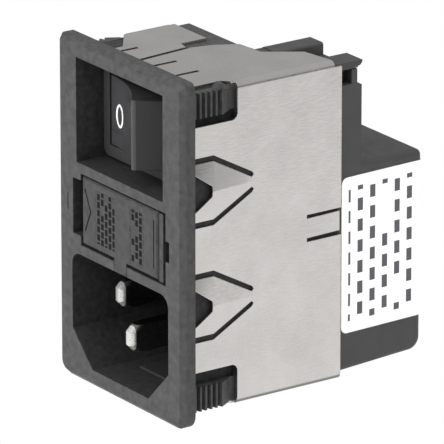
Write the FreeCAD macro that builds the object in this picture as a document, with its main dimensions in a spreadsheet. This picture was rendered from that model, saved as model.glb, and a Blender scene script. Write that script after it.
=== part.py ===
import FreeCAD, Part
import Sketcher
import math
import os
from types import SimpleNamespace

# Power entry module: a snap-in inlet with a rocker switch, a two-pole fuse drawer and a mains filter.
# Millimetres. The origin is the centre of the flange's rear face, where the panel's front face lies.
# X runs to the right seen from the front, Y runs back into the panel cut-out, Z runs up.

SIZES = (
    # Flange and moulded body
    ("flange_width", 31.0),
    ("flange_height", 50.8),
    ("flange_thickness", 2.2),
    ("flange_bevel", 0.75),
    ("flange_top_corner", 1.1),
    ("flange_bottom_corner", 2.2),
    ("flange_lip_side", 1.9),
    ("flange_lip_end", 2.1),
    ("flange_rim", 0.9),
    ("flange_relief", 0.15),
    ("body_corner", 0.5),
    ("body_depth", 18.8),
    # Openings in the flange, from the top down
    ("top_rim", 2.6),
    ("pocket_width", 21.5),
    ("pocket_height", 15.5),
    ("bar_height", 1.45),
    ("bay_left", 9.7),
    ("bay_right", 11.4),
    ("bay_height", 10.7),
    ("inlet_width", 24.0),
    ("inlet_height", 16.5),
    ("inlet_chamfer", 5.0),
    ("inlet_corner", 1.9),
    ("inlet_depth", 16.5),
    ("finger_slot_width", 2.0),
    ("finger_slot_height", 8.3),
    ("finger_slot_rise", 0.15),
    ("finger_slot_depth", 8.0),
    ("keyway_width", 0.87),
    ("keyway_height", 3.06),
    ("keyway_drop", 0.23),
    ("keyway_depth", 16.0),
    # Snap latches at the four corners of the body
    ("latch_recess_depth", 1.15),
    ("latch_recess_height_upper", 5.2),
    ("latch_recess_height_lower", 5.8),
    ("latch_recess_length", 8.15),
    ("latch_thickness", 0.9),
    ("latch_tail_gap", 1.1),
    ("latch_tail_depth", 0.5),
    ("latch_height", 3.6),
    ("latch_rib_pitch", 0.9),
    ("latch_rib_count", 5),
    ("latch_proud", 0.8),
    ("latch_rib_height", 0.6),
    # Inlet insert and contact pins
    ("insert_thickness", 4.4),
    ("insert_ear", 0.6),
    ("insert_ear_height", 6.0),
    ("insert_ear_thickness", 1.8),
    ("insert_tongue_width", 7.2),
    ("insert_tongue_thickness", 0.4),
    ("insert_tongue_setback", 5.8),
    ("pin_width", 2.0),
    ("pin_height", 4.0),
    ("pin_spacing", 14.0),
    ("pin_rise", 2.2),
    ("pin_setback", 4.3),
    ("pin_tip_bevel", 1.0),
    ("pin_side_round", 0.85),
    ("earth_drop", 1.7),
    ("earth_setback", 1.3),
    ("tail_thickness", 0.8),
    ("tail_length", 3.4),
    # Folded shield
    ("shield_thickness", 0.35),
    ("shield_clearance", 0.05),
    ("shield_depth", 25.9),
    ("shield_fold_radius", 0.9),
    ("shield_front_gap", 0.1),
    ("shield_notch_length", 8.15),
    ("shield_notch_height_upper", 5.35),
    ("shield_notch_height_lower", 6.05),
    ("shield_notch_top_width", 2.0),
    ("shield_notch_top_left", 5.4),
    ("shield_notch_corner", 1.0),
    ("front_slit", 0.7),
    ("front_slit_length", 6.7),
    ("flap_left_setback", 9.7),
    ("flap_left_end", 5.15),
    ("flap_notch_setback", 14.1),
    ("flap_right_setback", 1.1),
    ("seam_width", 0.8),
    ("seam_front", 1.8),
    ("seam_back", 3.0),
    ("tongue_rise", 8.77),
    ("tongue_drop", 8.1),
    ("tongue_half_width", 4.25),
    ("tongue_root_half_width", 0.65),
    ("tongue_length", 10.6),
    ("tongue_straight", 4.1),
    ("tongue_slot", 0.85),
    ("tongue_crease", 0.85),
    ("tongue_notch_depth", 3.6),
    ("tongue_notch_half_width", 3.1),
    ("rear_tab_half_width", 1.45),
    ("rear_tab_slit", 0.55),
    ("rear_tab_length", 5.9),
    ("rear_tab_bend", 0.25),
    # Rear housing
    ("rear_depth", 22.1),
    ("rear_draft", 2.0),
    ("rear_wall", 1.2),
    ("rear_edge_radius", 0.9),
    ("rear_foot_radius", 1.9),
    ("rear_step_rise", 2.35),
    ("tower_left", 2.0),
    ("tower_depth", 11.1),
    ("tower_shoulder_drop", 3.7),
    ("tower_neck_drop", 1.3),
    ("tower_neck_setback", 0.8),
    ("tower_cap_drop", 0.5),
    ("tower_cap_left", 9.4),
    ("tower_cavity_drop", 2.6),
    ("tower_bar_right", 5.5),
    ("tower_bar_setback", 1.9),
    ("tower_bar_depth", 10.0),
    ("tower_bar_rise", 0.2),
    ("tower_bar_corner", 0.4),
    ("tower_window_setback", 7.1),
    ("tower_window_length", 2.2),
    ("label_top", 5.9),
    ("label_bottom", 17.3),
    ("label_fold", 2.0),
    ("label_fold_gap", 0.04),
    ("label_thickness", 0.12),
    ("label_corner", 1.0),
    ("label_margin", 0.5),
    # Rocker switch
    ("frame_setback", 4.25),
    ("frame_width", 20.2),
    ("frame_height", 14.2),
    ("frame_thickness", 1.2),
    ("frame_corner", 1.2),
    ("frame_opening_width", 17.2),
    ("frame_opening_height", 10.8),
    ("switch_width", 19.2),
    ("switch_height", 13.0),
    ("switch_depth", 12.2),
    ("switch_wall", 0.7),
    ("switch_clearance", 0.1),
    ("rocker_height", 10.2),
    ("rocker_ridge_half", 6.2),
    ("rocker_ridge_rise", 7.15),
    ("rocker_dish", 1.2),
    ("rocker_half_width", 8.5),
    ("rocker_ridge_radius", 0.6),
    ("rocker_tilt", 20.5),
    ("rocker_side_wall", 0.8),
    ("rocker_boss_half", 2.2),
    ("rocker_boss_drop", 2.0),
    ("pivot_setback", 8.6),
    ("pivot_radius", 1.25),
    ("pivot_clearance", 0.05),
    ("pole_pitch", 6.6),
    ("plunger_radius", 1.02),
    ("plunger_clearance", 0.08),
    ("plunger_reach", 3.6),
    ("plunger_length", 4.2),
    ("spring_wire", 0.3),
    ("spring_pitch", 0.62),
    ("lever_tilt", 8.0),
    ("lever_thickness", 0.6),
    ("lever_width", 3.0),
    ("lever_left", 6.3),
    ("lever_right", 4.5),
    ("lever_gap", 0.12),
    ("knife_radius", 0.4),
    ("knife_drop", 0.28),
    ("contact_offset", 5.0),
    ("contact_radius", 1.0),
    ("contact_height", 0.5),
    ("contact_gap", 0.07),
    ("blade_thickness", 0.8),
    ("blade_inner_width", 3.6),
    ("load_tab_width", 4.8),
    ("load_tab_length", 8.0),
    ("tab_hole_radius", 0.7),
    ("feed_arm_reach", 5.2),
    ("feed_arm_length", 3.2),
    ("earth_tab_width", 6.3),
    ("earth_tab_length", 6.4),
    # Fuse drawer and fuses
    ("drawer_gap", 0.1),
    ("drawer_face_gap", 0.35),
    ("drawer_face_bevel", 0.25),
    ("drawer_line_right", 8.6),
    ("drawer_line_height", 7.2),
    ("drawer_line_width", 0.25),
    ("drawer_face_right", 9.35),
    ("drawer_face_thickness", 2.0),
    ("drawer_strip_gap", 0.5),
    ("drawer_strip_width", 0.95),
    ("drawer_strip_length", 14.0),
    ("drawer_tab_width", 3.0),
    ("drawer_tab_shift", 0.15),
    ("drawer_tab_thickness", 1.6),
    ("tray_half_width", 8.6),
    ("tray_depth", 19.0),
    ("tray_rise", 3.2),
    ("fuse_pitch", 9.2),
    ("fuse_length", 20.0),
    ("fuse_glass_radius", 2.5),
    ("fuse_glass_wall", 0.6),
    ("fuse_cap_radius", 2.6),
    ("fuse_cap_fit", 0.02),
    ("fuse_cap_length", 5.0),
    ("fuse_cap_wall", 0.35),
    ("fuse_wire_radius", 0.15),
    ("fuse_setback", 2.8),
    ("fuse_channel_gap", 0.15),
    ("sleeve_wall", 0.8),
    ("leaf_width", 2.0),
    ("leaf_thickness", 0.4),
    ("leaf_gap", 0.1),
    # Filter parts in the rear housing
    ("choke_core_radius", 7.4),
    ("choke_core_bore", 4.2),
    ("choke_core_thickness", 6.0),
    ("choke_winding", 1.4),
    ("choke_fit", 0.05),
    ("choke_winding_angle", 130.0),
    ("choke_setback", 0.2),
    ("resistor_rise", 6.25),
    ("choke_drop", 11.0),
    ("x_capacitor_length", 17.5),
    ("x_capacitor_width", 10.5),
    ("x_capacitor_height", 5.0),
    ("y_capacitor_radius", 4.0),
    ("y_capacitor_thickness", 3.4),
    ("y_capacitor_pitch", 5.0),
    ("resistor_radius", 1.2),
    ("resistor_length", 6.5),
    ("part_seat_gap", 0.2),
)

doc = FreeCAD.newDocument("power_entry_module")
sheet = doc.addObject("Spreadsheet::Sheet", "Sizes")
for row, (alias, millimetres) in enumerate(SIZES, start=1):
    sheet.set("A%d" % row, alias)
    sheet.set("B%d" % row, str(millimetres))
    sheet.setAlias("B%d" % row, alias)
doc.recompute()


class Size:
    """A number together with the expression that ties it to the sheet."""

    def __init__(self, value, text):
        self.value = value
        self.text = text

    def __add__(self, other):
        other = as_size(other)
        return Size(self.value + other.value, "(%s + %s)" % (self.text, other.text))

    def __sub__(self, other):
        other = as_size(other)
        return Size(self.value - other.value, "(%s - %s)" % (self.text, other.text))

    def __mul__(self, other):
        other = as_size(other)
        return Size(self.value * other.value, "(%s * %s)" % (self.text, other.text))

    def __truediv__(self, other):
        other = as_size(other)
        return Size(self.value / other.value, "(%s / %s)" % (self.text, other.text))

    def __neg__(self):
        return Size(-self.value, "(0 - %s)" % self.text)

    __radd__ = __add__
    __rmul__ = __mul__

    def __rsub__(self, other):
        return as_size(other) - self


def as_size(number):
    if isinstance(number, Size):
        return number
    return Size(float(number), repr(float(number)))


def sine(angle):
    return Size(math.sin(math.radians(angle.value)), "sin(%s)" % angle.text)


def cosine(angle):
    return Size(math.cos(math.radians(angle.value)), "cos(%s)" % angle.text)


def tangent(angle):
    return Size(math.tan(math.radians(angle.value)), "tan(%s)" % angle.text)


s = SimpleNamespace(
    **{alias: Size(float(sheet.get(alias)), "Sizes." + alias) for alias, _ in SIZES}
)

# Levels and depths that several pieces share

front = -s.flange_thickness
body_x = s.flange_width / 2 - s.flange_lip_side
body_z = s.flange_height / 2 - s.flange_lip_end
pocket_top = s.flange_height / 2 - s.top_rim
pocket_bottom = pocket_top - s.pocket_height
switch_z = pocket_top - s.pocket_height / 2
bay_top = pocket_bottom - s.bar_height
bay_bottom = bay_top - s.bay_height
bay_z = bay_top - s.bay_height / 2
inlet_top = bay_bottom - s.bar_height
inlet_bottom = inlet_top - s.inlet_height
inlet_z = inlet_top - s.inlet_height / 2
inlet_floor = front + s.inlet_depth
frame_front = front + s.frame_setback
switch_seat = frame_front + s.frame_thickness
switch_rear = switch_seat + s.switch_depth
pivot_y = front + s.pivot_setback
lever_top = pivot_y + s.plunger_reach + s.lever_gap
lever_pivot_y = lever_top + s.lever_thickness + s.knife_drop
fuse_x = s.fuse_pitch / 2
fuse_z = bay_z - 0.3
fuse_front = front + s.fuse_setback
fuse_rear = fuse_front + s.fuse_length
sleeve_rear = fuse_rear + 1.0 + s.sleeve_wall
rear_end = s.body_depth + s.rear_depth
rear_step = bay_top + s.rear_step_rise
tower_shoulder = body_z - s.tower_shoulder_drop
tower_neck = body_z - s.tower_neck_drop
tower_cap = body_z - s.tower_cap_drop
tower_cavity = body_z - s.tower_cavity_drop
choke_z = rear_step - s.choke_drop
feed_arm_rear = switch_rear + s.feed_arm_reach
shield_x = body_x + s.shield_clearance
shield_z = body_z + s.shield_clearance
shield_outer_x = shield_x + s.shield_thickness
shield_outer_z = shield_z + s.shield_thickness
pin_z = inlet_z + s.pin_rise
earth_z = inlet_z - s.earth_drop
insert_rear = inlet_floor + s.insert_thickness
pin_rear = insert_rear + s.tail_length
rear_slope = tangent(s.rear_draft)
earth_tab_x = s.tail_thickness / 2


# Drawing helpers: an outline is a list of corners (u, v), and a corner may carry the arc that leaves it

def bind(thing, name, value):
    thing.setExpression(name, as_size(value).text)


def new_body(label):
    body = doc.addObject("PartDesign::Body", label)
    body.Label = label
    return body


def place(thing, x=0.0, y=0.0, z=0.0, turn=None):
    """Puts a piece at a point, turned about the vertical axis."""
    if turn is not None:
        thing.Placement.Rotation = FreeCAD.Rotation(FreeCAD.Vector(0, 0, 1), as_size(turn).value)
        bind(thing, "Placement.Rotation.Angle", turn)
    bind(thing, "Placement.Base.x", x)
    bind(thing, "Placement.Base.y", y)
    bind(thing, "Placement.Base.z", z)


def rectangle(left, right, low, high, radius=None, low_radius=None):
    """A rectangle's corners, anticlockwise, with round corners where a radius is given."""
    if radius is None:
        return [(left, low), (right, low), (right, high), (left, high)]
    foot = radius if low_radius is None else low_radius
    return [
        (left + foot, low),
        (right - foot, low, (foot, 1)),
        (right, low + foot),
        (right, high - radius, (radius, 1)),
        (right - radius, high),
        (left + radius, high, (radius, 1)),
        (left, high - radius),
        (left, low + foot, (foot, 1)),
    ]


def arc_between(begin, end, radius, turn):
    """The arc from begin to end; turn is 1 anticlockwise and -1 clockwise."""
    middle = (begin + end) / 2
    chord = end - begin
    rise = math.sqrt(max(radius * radius - (chord.Length / 2) ** 2, 0.0))
    left = FreeCAD.Vector(-chord.y, chord.x, 0).normalize()
    centre = middle + left * rise * turn
    circle = Part.Circle(centre, FreeCAD.Vector(0, 0, 1), radius)
    angles = [math.atan2(point.y - centre.y, point.x - centre.x) for point in (begin, end)]
    if turn < 0:
        angles.reverse()
    if angles[1] < angles[0]:
        angles[1] += 2 * math.pi
    return Part.ArcOfCircle(circle, angles[0], angles[1])


def add_outline(sketch, corners):
    """Draws one closed outline and ties each corner and radius to its expression."""
    points = [FreeCAD.Vector(as_size(c[0]).value, as_size(c[1]).value, 0) for c in corners]
    first_index = sketch.GeometryCount
    shapes = []
    for index, corner in enumerate(corners):
        begin = points[index]
        end = points[(index + 1) % len(corners)]
        if len(corner) == 3:
            radius, turn = corner[2]
            shapes.append(arc_between(begin, end, as_size(radius).value, turn))
        else:
            shapes.append(Part.LineSegment(begin, end))
    sketch.addGeometry(shapes, False)

    def ends(index):
        corner = corners[index]
        clockwise = len(corner) == 3 and corner[2][1] < 0
        return (2, 1) if clockwise else (1, 2)

    for index, corner in enumerate(corners):
        shape = first_index + index
        following = (index + 1) % len(corners)
        sketch.addConstraint(
            Sketcher.Constraint(
                "Coincident", shape, ends(index)[1], first_index + following, ends(following)[0]
            )
        )
        for kind, measure in (("DistanceX", corner[0]), ("DistanceY", corner[1])):
            measure = as_size(measure)
            tie = sketch.addConstraint(
                Sketcher.Constraint(kind, -1, 1, shape, ends(index)[0], measure.value)
            )
            sketch.setExpression("Constraints[%d]" % tie, measure.text)
        if len(corner) == 3:
            radius = as_size(corner[2][0])
            tie = sketch.addConstraint(Sketcher.Constraint("Radius", shape, radius.value))
            sketch.setExpression("Constraints[%d]" % tie, radius.text)


def add_circle(sketch, u, v, radius):
    u, v, radius = as_size(u), as_size(v), as_size(radius)
    centre = FreeCAD.Vector(u.value, v.value, 0)
    shape = sketch.addGeometry(Part.Circle(centre, FreeCAD.Vector(0, 0, 1), radius.value), False)
    for kind, measure in (("DistanceX", u), ("DistanceY", v)):
        tie = sketch.addConstraint(Sketcher.Constraint(kind, -1, 1, shape, 3, measure.value))
        sketch.setExpression("Constraints[%d]" % tie, measure.text)
    tie = sketch.addConstraint(Sketcher.Constraint("Radius", shape, radius.value))
    sketch.setExpression("Constraints[%d]" % tie, radius.text)


def draw(body, plane, level, outlines):
    """A sketch on one of the body's planes: XZ looks along Y, XY looks down, YZ looks from the side."""
    sketch = body.newObject("Sketcher::SketchObject", "Outline")
    support = [f for f in body.Origin.OriginFeatures if f.Role == plane + "_Plane"][0]
    sketch.AttachmentSupport = (support, [""])
    sketch.MapMode = "FlatFace"
    level = as_size(level)
    bind(sketch, "AttachmentOffset.Base.z", -level if plane == "XZ" else level)
    for outline in outlines:
        if outline[0] == "circle":
            add_circle(sketch, *outline[1:])
        else:
            add_outline(sketch, outline)
    doc.recompute()
    return sketch


def grow(body, kind, plane, start, end, outlines, draft=None):
    """Adds or cuts the outlines between two levels, and makes sure that the solid changed."""
    before = body.Shape.Volume if body.Tip else 0.0
    sketch = draw(body, plane, start, outlines)
    feature = body.newObject("PartDesign::" + kind, kind)
    feature.Profile = sketch
    feature.Reversed = (plane == "XZ") == (kind == "Pad")
    bind(feature, "Length", as_size(end) - as_size(start))
    if draft is not None:
        bind(feature, "TaperAngle", -draft)
    sketch.Visibility = False
    doc.recompute()
    change = body.Shape.Volume - before
    if (change <= 0) == (kind == "Pad") or feature.State and "Invalid" in feature.State:
        raise RuntimeError("%s: %s at %s changed nothing" % (body.Label, kind, plane))
    return feature


def pad(body, plane, start, end, *outlines, draft=None):
    return grow(body, "Pad", plane, start, end, outlines, draft)


def cut(body, plane, start, end, *outlines, draft=None):
    return grow(body, "Pocket", plane, start, end, outlines, draft)


def loft(body, sections):
    """Adds a ruled solid through outlines drawn across Y."""
    sketches = [draw(body, "XZ", level, [outline]) for level, outline in sections]
    feature = body.newObject("PartDesign::AdditiveLoft", "Loft")
    feature.Profile = sketches[0]
    feature.Sections = sketches[1:]
    feature.Ruled = True
    doc.recompute()
    return feature


def revolve(body, outline, angle=360.0, kind="Revolution"):
    """Turns an outline, drawn on the XY plane, about the Y axis."""
    sketch = draw(body, "XY", 0.0, outline)
    feature = body.newObject("PartDesign::" + kind, kind)
    feature.Profile = sketch
    feature.ReferenceAxis = (sketch, ["V_Axis"])
    bind(feature, "Angle", angle)
    feature.Midplane = True
    doc.recompute()
    return feature


def edges_where(shape, test):
    return ["Edge%d" % (i + 1) for i, edge in enumerate(shape.Edges) if test(edge)]


def lies_at(edge, axis, level):
    box = edge.BoundBox
    low, high = {"x": (box.XMin, box.XMax), "y": (box.YMin, box.YMax), "z": (box.ZMin, box.ZMax)}[axis]
    return abs(low - level) < 1e-4 and abs(high - level) < 1e-4


def dress(body, kind, measure, test):
    """A chamfer or fillet on the edges that pass the test."""
    base = body.Tip
    feature = body.newObject("PartDesign::" + kind, kind)
    feature.Base = (base, edges_where(base.Shape, test))
    bind(feature, "Size" if kind == "Chamfer" else "Radius", measure)
    doc.recompute()
    return feature


pieces = []


def finish(thing):
    pieces.append(thing)
    return thing


def inlet_outline(gap=0.0):
    """The inlet's opening: round corners above and two chamfers below, drawn in by a gap."""
    x = s.inlet_width / 2 - gap
    top = inlet_top - gap
    low = inlet_bottom + gap
    side = s.inlet_chamfer - gap * 0.586
    corner = s.inlet_corner - gap
    return [
        (-x + side, low),
        (x - side, low),
        (x, low + side),
        (x, top - corner, (corner, 1)),
        (x - corner, top),
        (-x + corner, top, (corner, 1)),
        (-x, top - corner),
        (-x, low + side),
    ]


# Front housing: flange, body, three openings and the four snap latches

def latch_outline(side, rear):
    """A latch seen from above: ribs that grip the panel, then a smooth ramp to its root."""
    inner = body_x - s.latch_thickness
    crest = body_x + s.latch_proud
    valley = crest - s.latch_rib_height
    start = 0.35
    corners = [(inner, as_size(start)), (valley, as_size(start))]
    for rib in range(int(s.latch_rib_count.value)):
        near = start + s.latch_rib_pitch * rib
        corners.append((valley, near + s.latch_rib_pitch * 0.15))
        corners.append((crest, near + s.latch_rib_pitch * 0.3))
        corners.append((crest, near + s.latch_rib_pitch * 0.65))
        corners.append((valley, near + s.latch_rib_pitch * 0.8))
    ramp = start + s.latch_rib_pitch * s.latch_rib_count + 0.1
    corners.append((valley, ramp))
    corners.append((crest + 0.1, ramp + 0.25))
    tail = s.latch_recess_length - s.latch_tail_gap
    depth = body_x - s.latch_tail_depth
    corners.append((depth + 0.35, tail))
    corners.append((depth, tail + 0.15))
    corners.append((depth, rear))
    corners.append((inner, rear))
    return [(x * side, y) for x, y in corners]


def make_front_housing():
    body = new_body("front_housing")
    flange_x = s.flange_width / 2
    flange_z = s.flange_height / 2
    flange = rectangle(
        -flange_x, flange_x, -flange_z, flange_z, s.flange_top_corner, s.flange_bottom_corner
    )
    pad(body, "XZ", front, 0.0, flange)
    dress(body, "Chamfer", s.flange_bevel, lambda edge: lies_at(edge, "y", front.value))
    relief_x = flange_x - s.flange_rim
    relief_z = flange_z - s.flange_rim
    cut(body, "XZ", -s.flange_relief, 0.1, rectangle(-relief_x, relief_x, -relief_z, relief_z))
    outline = rectangle(-body_x, body_x, -body_z, body_z, s.body_corner)
    pad(body, "XZ", -s.flange_relief - 0.1, s.body_depth, outline)
    wall = s.sleeve_wall
    sleeve = rectangle(-s.bay_left - wall, s.bay_right + wall, bay_bottom - wall, bay_top + wall)
    pad(body, "XZ", s.body_depth - 0.2, sleeve_rear, sleeve)
    # Switch pocket and the hole behind it
    pocket_x = s.pocket_width / 2
    cut(body, "XZ", front, switch_seat, rectangle(-pocket_x, pocket_x, pocket_bottom, pocket_top))
    hole_x = s.switch_width / 2 + s.switch_clearance
    hole_z = s.switch_height / 2 + s.switch_clearance
    hole = rectangle(-hole_x, hole_x, switch_z - hole_z, switch_z + hole_z)
    cut(body, "XZ", switch_seat - 0.1, s.body_depth + 0.1, hole)
    # Fuse bay, its finger slot on the left and its keyway on the right
    bay = rectangle(-s.bay_left, s.bay_right, bay_bottom, bay_top)
    cut(body, "XZ", front, sleeve_rear - wall, bay)
    slot_z = s.finger_slot_height / 2
    middle = bay_z + s.finger_slot_rise
    slot = rectangle(-s.bay_left - s.finger_slot_width, -s.bay_left + 0.2, middle - slot_z, middle + slot_z)
    cut(body, "XZ", front, front + s.finger_slot_depth, slot)
    key_z = s.keyway_height / 2
    middle = bay_z - s.keyway_drop
    key = rectangle(s.bay_right - 0.2, s.bay_right + s.keyway_width, middle - key_z, middle + key_z)
    cut(body, "XZ", front, front + s.keyway_depth, key)
    notch_x = s.drawer_tab_width / 2 + s.drawer_gap
    middle = s.drawer_tab_shift
    notch = rectangle(middle - notch_x, middle + notch_x, inlet_top - 0.1, bay_bottom + 0.1)
    cut(body, "XZ", front, front + s.drawer_tab_thickness + s.drawer_gap, notch)
    # Inlet recess, which the insert closes from behind, and the seats for the insert's two ears
    cut(body, "XZ", front, s.body_depth + 0.1, inlet_outline())
    seat_x = s.inlet_width / 2 + s.insert_ear
    half = s.insert_ear_height / 2 + 0.1
    seat = rectangle(-seat_x, seat_x, inlet_z - half, inlet_z + half)
    cut(body, "XZ", insert_rear - s.insert_ear_thickness, s.body_depth + 0.1, seat)
    # Grooves for the fuse contacts in the floor of the bay, and their way out at the rear
    for side in (-1, 1):
        half = s.leaf_width / 2 + 0.05
        low = bay_bottom - s.leaf_thickness - 0.05
        groove = rectangle(fuse_x * side - half, fuse_x * side + half, low, bay_bottom + 0.1)
        cut(body, "XZ", fuse_front + 0.8, sleeve_rear + 0.1, groove)
        outlet = rectangle(fuse_x * side - half, fuse_x * side + half, fuse_z - 0.25, fuse_z + 0.25)
        cut(body, "XZ", sleeve_rear - wall - 0.1, sleeve_rear + 0.1, outlet)
    # Corner recesses with the latch arms that stand in them
    for side in (-1, 1):
        for level in (-1, 1):
            inner = body_x - s.latch_recess_depth
            low = body_z - (s.latch_recess_height_upper if level > 0 else s.latch_recess_height_lower)
            recess = [
                (inner * side, low * level),
                ((body_x + 1) * side, low * level),
                ((body_x + 1) * side, (body_z + 1) * level),
                (inner * side, (body_z + 1) * level),
            ]
            cut(body, "XZ", 0.0, s.latch_recess_length, recess)
            base = body_z - s.latch_height
            shoulder = body_z - s.body_corner
            root = s.latch_recess_length + 0.5
            for low, high, rear in (
                (base, shoulder, root),
                (shoulder - 0.1, body_z, s.latch_recess_length),
            ):
                span = (low, high) if level > 0 else (-high, -low)
                pad(body, "XY", span[0], span[1], latch_outline(side, rear))
    add_latch_crown(body)
    return finish(body)


def add_latch_crown(body):
    """The low wedge on top of the upper right latch arm."""
    inner = body_x - s.latch_thickness + 0.2
    outer = body_x + s.latch_proud - 0.15
    length = s.latch_recess_length
    crown = [
        (length - 3.85, body_z - 0.1),
        (length - 1.55, body_z - 0.1),
        (length - 1.55, body_z + 0.2),
        (length - 2.55, body_z + 0.8),
        (length - 2.95, body_z + 0.8),
    ]
    pad(body, "YZ", inner, outer, crown)


# Inlet insert, which closes the recess, and the three contact pins that stand in it

def make_inlet_insert():
    body = new_body("inlet_insert")
    pad(body, "XZ", inlet_floor, insert_rear, inlet_outline(0.1))
    ear_x = s.inlet_width / 2 + s.insert_ear - 0.1
    half = s.insert_ear_height / 2
    ears = rectangle(-ear_x, ear_x, inlet_z - half, inlet_z + half)
    pad(body, "XZ", insert_rear - s.insert_ear_thickness, insert_rear, ears)
    half = s.insert_tongue_width / 2
    low = inlet_bottom + 0.1
    tongue = rectangle(-half, half, low, low + s.insert_tongue_thickness)
    pad(body, "XZ", front + s.insert_tongue_setback, inlet_floor + 0.2, tongue)
    half_x = s.pin_width / 2 + 0.05
    half_z = s.pin_height / 2 + 0.05
    for x, z in ((-s.pin_spacing / 2, pin_z), (s.pin_spacing / 2, pin_z), (as_size(0), earth_z)):
        hole = rectangle(x - half_x, x + half_x, z - half_z, z + half_z)
        cut(body, "XZ", inlet_floor - 0.1, insert_rear + 0.1, hole)
    return finish(body)


def make_pin(label, x, z, setback):
    """A blade pin with a bevelled and rounded tip and a thin solder tail."""
    body = new_body(label)
    half_x = s.pin_width / 2
    half_z = s.pin_height / 2
    tip = front + setback
    pad(body, "XZ", tip, insert_rear, rectangle(-half_x, half_x, -half_z, half_z))
    dress(
        body,
        "Chamfer",
        s.pin_tip_bevel,
        lambda edge: lies_at(edge, "y", tip.value) and not lies_at(edge, "x", edge.BoundBox.XMin),
    )
    limit = tip.value + s.pin_tip_bevel.value + 0.01
    dress(
        body,
        "Fillet",
        s.pin_side_round,
        lambda edge: edge.BoundBox.YMax < limit and lies_at(edge, "x", edge.BoundBox.XMin),
    )
    tail_x = s.tail_thickness / 2
    pad(body, "XZ", insert_rear - 0.2, pin_rear, rectangle(-tail_x, tail_x, -half_z, half_z))
    place(body, x=x, z=z)
    return finish(body)


def make_earth_tab():
    """The earth strip, lapped on the earth pin's tail and running out of the rear wall as a tab."""
    body = new_body("earth_tab")
    half = s.earth_tab_width / 2
    inner = s.pin_height / 2
    outline = [
        (insert_rear + 0.3, earth_z - inner),
        (pin_rear + 1.0, earth_z - inner),
        (pin_rear + 2.2, earth_z - half),
        (rear_end + s.earth_tab_length - 1.0, earth_z - half),
        (rear_end + s.earth_tab_length, earth_z - half + 1.0),
        (rear_end + s.earth_tab_length, earth_z + half - 1.0),
        (rear_end + s.earth_tab_length - 1.0, earth_z + half),
        (pin_rear + 2.2, earth_z + half),
        (pin_rear + 1.0, earth_z + inner),
        (insert_rear + 0.3, earth_z + inner),
    ]
    hole = ("circle", rear_end + s.earth_tab_length * 0.5, earth_z, s.tab_hole_radius * 1.2)
    pad(body, "YZ", earth_tab_x, earth_tab_x + s.blade_thickness, outline, hole)
    return finish(body)


# Shield: one folded sheet round the body, with its seam on top

def chevron(side, inner, half, crease):
    """A section through a creased tongue, with the sheet's thickness."""
    outer = inner + s.shield_thickness
    return [
        (inner * side, -half),
        ((inner + crease) * side, as_size(0)),
        (inner * side, half),
        (outer * side, half),
        ((outer + crease) * side, as_size(0)),
        (outer * side, -half),
    ]


def shifted(outline, du=0.0, dv=0.0):
    return [(as_size(c[0]) + du, as_size(c[1]) + dv) + tuple(c[2:]) for c in outline]


def cut_top_of_shield(body):
    """The seam, the front slits and the stepped rear edge of the two top flaps."""
    low = shield_outer_z - s.shield_fold_radius
    high = shield_outer_z + 0.3
    wide = shield_outer_x + 1.0
    rear = s.shield_depth
    far = rear + 1.0
    left = rear - s.flap_left_setback
    right = rear - s.flap_right_setback
    notch = rear - s.flap_notch_setback
    end = -s.flap_left_end
    rear_edge = [
        (-wide, left - 1.0),
        (-shield_outer_x, left - 1.0),
        (0.8 - shield_outer_x, left),
        (end, left),
        (end, notch),
        (end + 2.3, notch - 0.5),
        (end + 3.2, notch + 3.3),
        (end + 4.95, notch + 6.6),
        (s.tower_left + 2.5, notch + 7.0),
        (s.tower_left + 5.9, right - 1.0),
        (shield_outer_x - 1.2, right - 0.2),
        (wide, right),
        (wide, far),
        (-wide, far),
    ]
    cut(body, "XY", low, high, rear_edge)
    half = s.seam_width / 2
    seam = [
        (-s.seam_front - half, as_size(-0.5)),
        (-s.seam_front + half, as_size(-0.5)),
        (-s.seam_back + half, notch - 0.3),
        (-s.seam_back - half, notch + 0.1),
    ]
    cut(body, "XY", low, high, seam)
    half = s.front_slit / 2
    slits = [
        rectangle(x - half, x + half, as_size(-0.5), length)
        for x, length in (
            (as_size(-7.0), s.front_slit_length - 0.9),
            (as_size(1.2), s.front_slit_length),
            (as_size(6.6), s.front_slit_length),
        )
    ]
    cut(body, "XY", low, high, *slits)
    # The left wall slopes down behind the left flap
    slope = [
        (left - 1.0, shield_outer_z + 0.3),
        (left + 0.6, shield_outer_z - 3.2),
        (left + 3.3, shield_outer_z - 8.2),
        (far, shield_outer_z - 8.2),
        (far, shield_outer_z + 0.3),
    ]
    cut(body, "YZ", -wide, s.shield_fold_radius - shield_outer_x, slope)


def cut_latch_notches(body, side):
    """The corner notches that leave the latch arms free."""
    inner = shield_outer_x - s.shield_fold_radius
    wide = shield_outer_x + 1.0
    span = (inner, wide) if side > 0 else (-wide, -inner)
    for level in (-1, 1):
        low = shield_outer_z - (s.shield_notch_height_upper if level > 0 else s.shield_notch_height_lower)
        corner = s.shield_notch_corner
        notch = [
            (as_size(-1.0), low * level),
            (s.shield_notch_length - corner, low * level, (corner, level)),
            (s.shield_notch_length, (low + corner) * level),
            (s.shield_notch_length, (shield_outer_z + 1) * level),
            (as_size(-1.0), (shield_outer_z + 1) * level),
        ]
        cut(body, "YZ", span[0], span[1], notch)
        length = s.shield_notch_length
        edge = shield_outer_x - s.shield_notch_top_width
        slope = [((shield_outer_x - 0.4) * side, length), (edge * side, length - 1.5)]
        if level > 0 and side < 0:
            edge = shield_outer_x - s.shield_notch_top_left
            slope = [(-shield_outer_x, length), (1.6 - shield_outer_x, length - 1.1), (-edge, length - 3.85)]
        top = [(edge * side, as_size(-1.0)), (wide * side, as_size(-1.0)), (wide * side, length)] + slope
        low_z = shield_outer_z - s.shield_fold_radius
        high_z = shield_outer_z + 0.3
        levels = (low_z, high_z) if level > 0 else (-high_z, -low_z)
        cut(body, "XY", levels[0], levels[1], top)


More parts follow.
